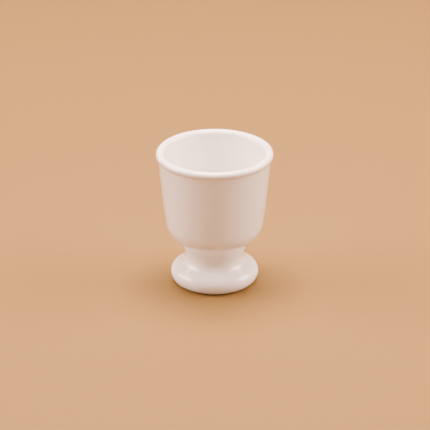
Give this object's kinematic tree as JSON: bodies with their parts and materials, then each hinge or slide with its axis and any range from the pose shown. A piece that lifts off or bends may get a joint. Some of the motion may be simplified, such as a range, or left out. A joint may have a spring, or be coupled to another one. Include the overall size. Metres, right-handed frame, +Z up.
{
  "type": "egg cup",
  "caption": "Small footed egg cup: a round bowl with a flared, rolled lip on a short waisted pedestal foot, hollow below, that holds an egg upright at the table.",
  "frame": {"origin": "centre of the foot ring, on the surface that the cup stands on", "axes": "+Z up along the axis that the cup is turned about; +X and +Y are any two level directions"},
  "size_m": [0.05, 0.05, 0.06],
  "materials": {
    "bowl_porcelain": "smooth white gloss glaze",
    "foot_porcelain": "smooth white gloss glaze, bare and matt on the ring it stands on",
    "fired_slip": "same white body as bowl and foot, under the glaze"
  },
  "bodies": {
    "root": {"bowl": "bowl_porcelain", "foot": "foot_porcelain", "slip_joint": "fired_slip"}
  },
  "joints": []
}
